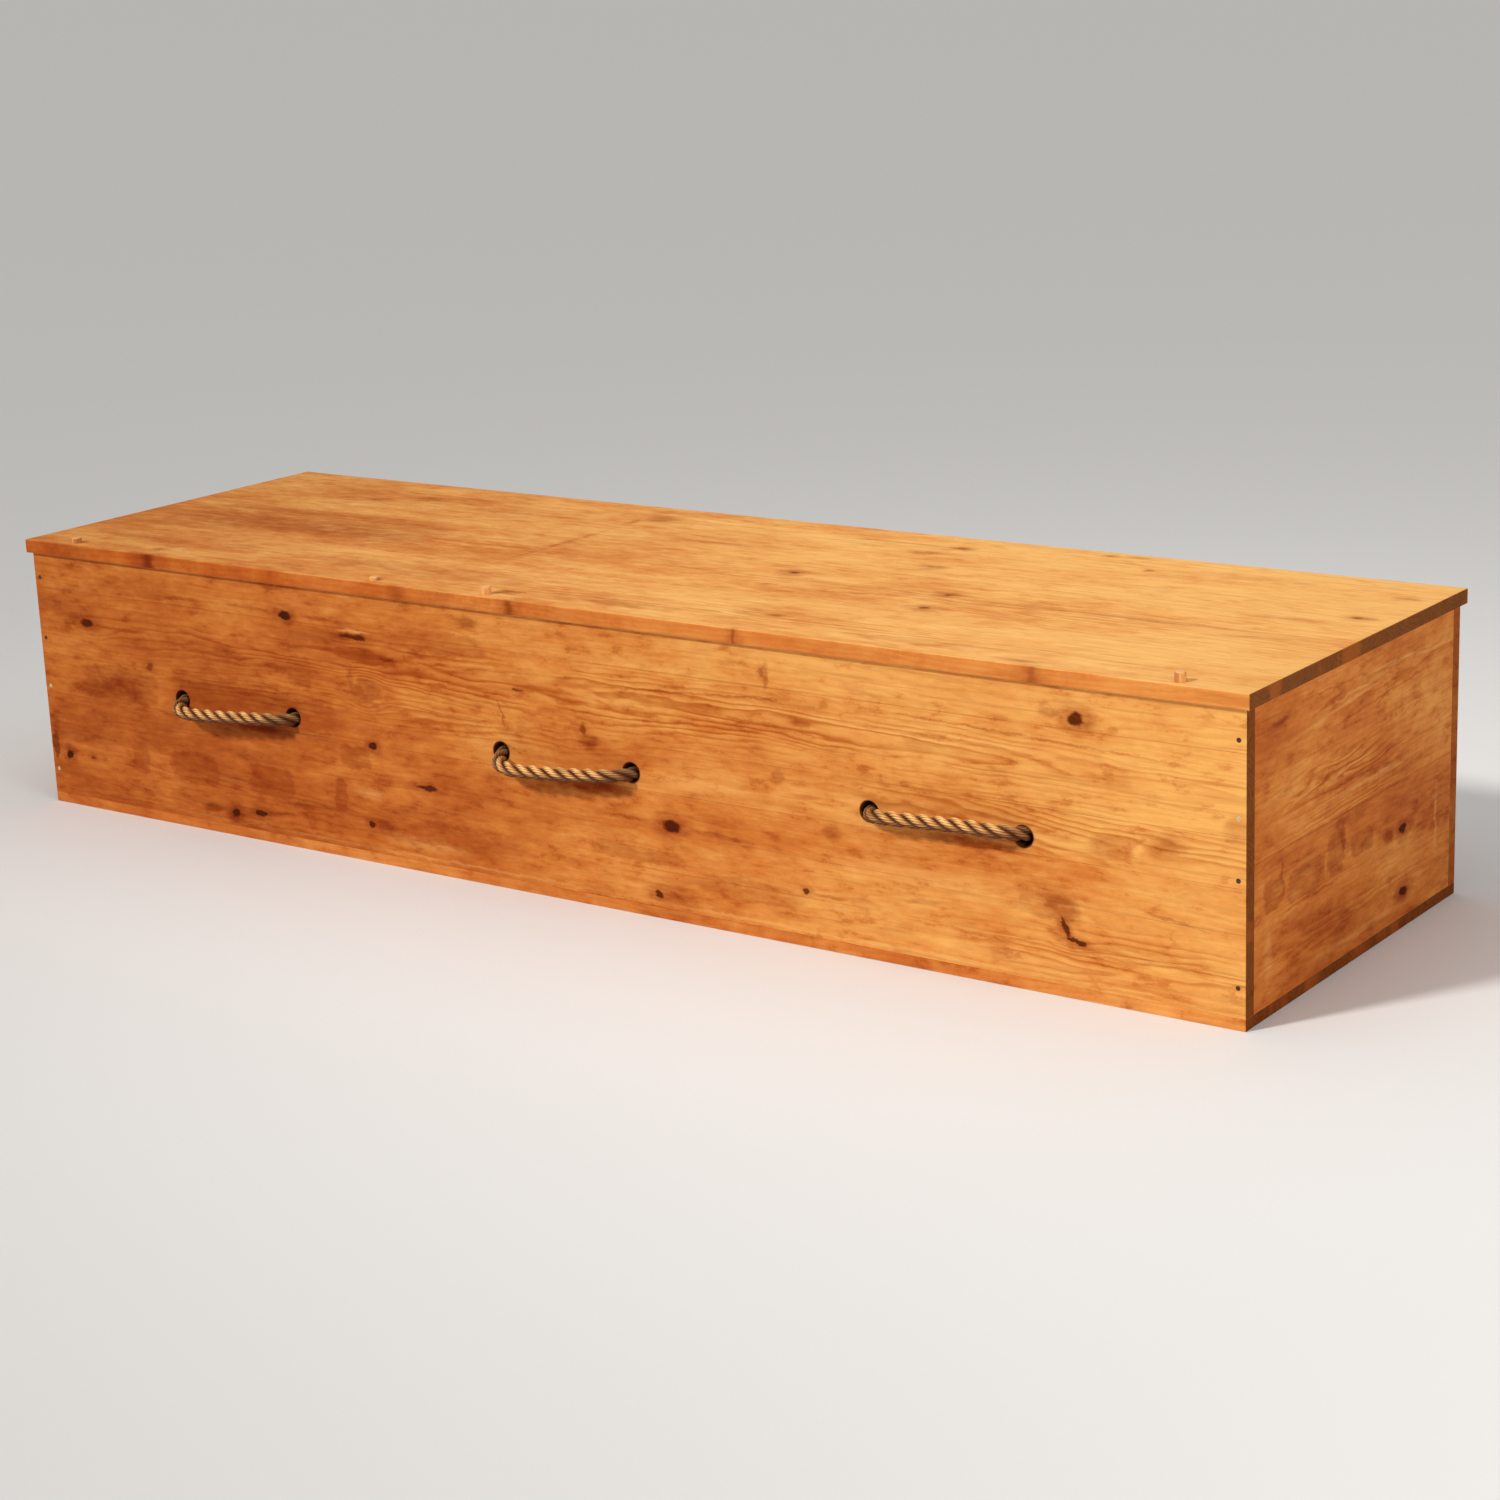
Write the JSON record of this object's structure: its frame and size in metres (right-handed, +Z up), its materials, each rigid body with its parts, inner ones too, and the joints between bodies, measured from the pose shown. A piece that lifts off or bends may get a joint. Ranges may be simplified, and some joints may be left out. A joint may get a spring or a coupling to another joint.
{
  "type": "wooden coffin",
  "caption": "Plain rectangular pine coffin with a flat lift-off lid, wooden lid pegs, nailed corners and rope handles knotted inside.",
  "frame": {"origin": "middle of the underside of the bottom board", "axes": "+X along the coffin towards its right end, -Y out of the long side that is its front, +Z up"},
  "size_m": [2.014, 0.672, 0.417],
  "materials": {
    "pine_boards": "oiled knotty pine, warm honey orange, satin",
    "pine_lid": "oiled knotty pine, warm honey orange, satin",
    "pine_pegs": "turned pine, oiled, end grain on top",
    "nails": "dark, dull steel nail heads",
    "rope": "natural manila, three strands, dry and slightly hairy"
  },
  "bodies": {
    "root": {"bottom_board": "pine_boards", "front_board": "pine_boards", "back_board": "pine_boards", "left_end_board": "pine_boards", "right_end_board": "pine_boards", "lid": "pine_lid", "lid_peg_1": "pine_pegs", "lid_peg_2": "pine_pegs", "lid_peg_3": "pine_pegs", "lid_peg_4": "pine_pegs", "front_left_nail_1": "nails", "front_left_nail_2": "nails", "front_left_nail_3": "nails", "front_left_nail_4": "nails", "front_right_nail_1": "nails", "front_right_nail_2": "nails", "front_right_nail_3": "nails", "front_right_nail_4": "nails", "back_left_nail_1": "nails", "back_left_nail_2": "nails", "back_left_nail_3": "nails", "back_left_nail_4": "nails", "back_right_nail_1": "nails", "back_right_nail_2": "nails", "back_right_nail_3": "nails", "back_right_nail_4": "nails", "front_left_rope": "rope", "front_middle_rope": "rope", "front_right_rope": "rope", "back_left_rope": "rope", "back_middle_rope": "rope", "back_right_rope": "rope", "front_left_rope_left_knot": "rope", "front_left_rope_right_knot": "rope", "front_middle_rope_left_knot": "rope", "front_middle_rope_right_knot": "rope", "front_right_rope_left_knot": "rope", "front_right_rope_right_knot": "rope", "back_left_rope_left_knot": "rope", "back_left_rope_right_knot": "rope", "back_middle_rope_left_knot": "rope", "back_middle_rope_right_knot": "rope", "back_right_rope_left_knot": "rope", "back_right_rope_right_knot": "rope"}
  },
  "joints": []
}
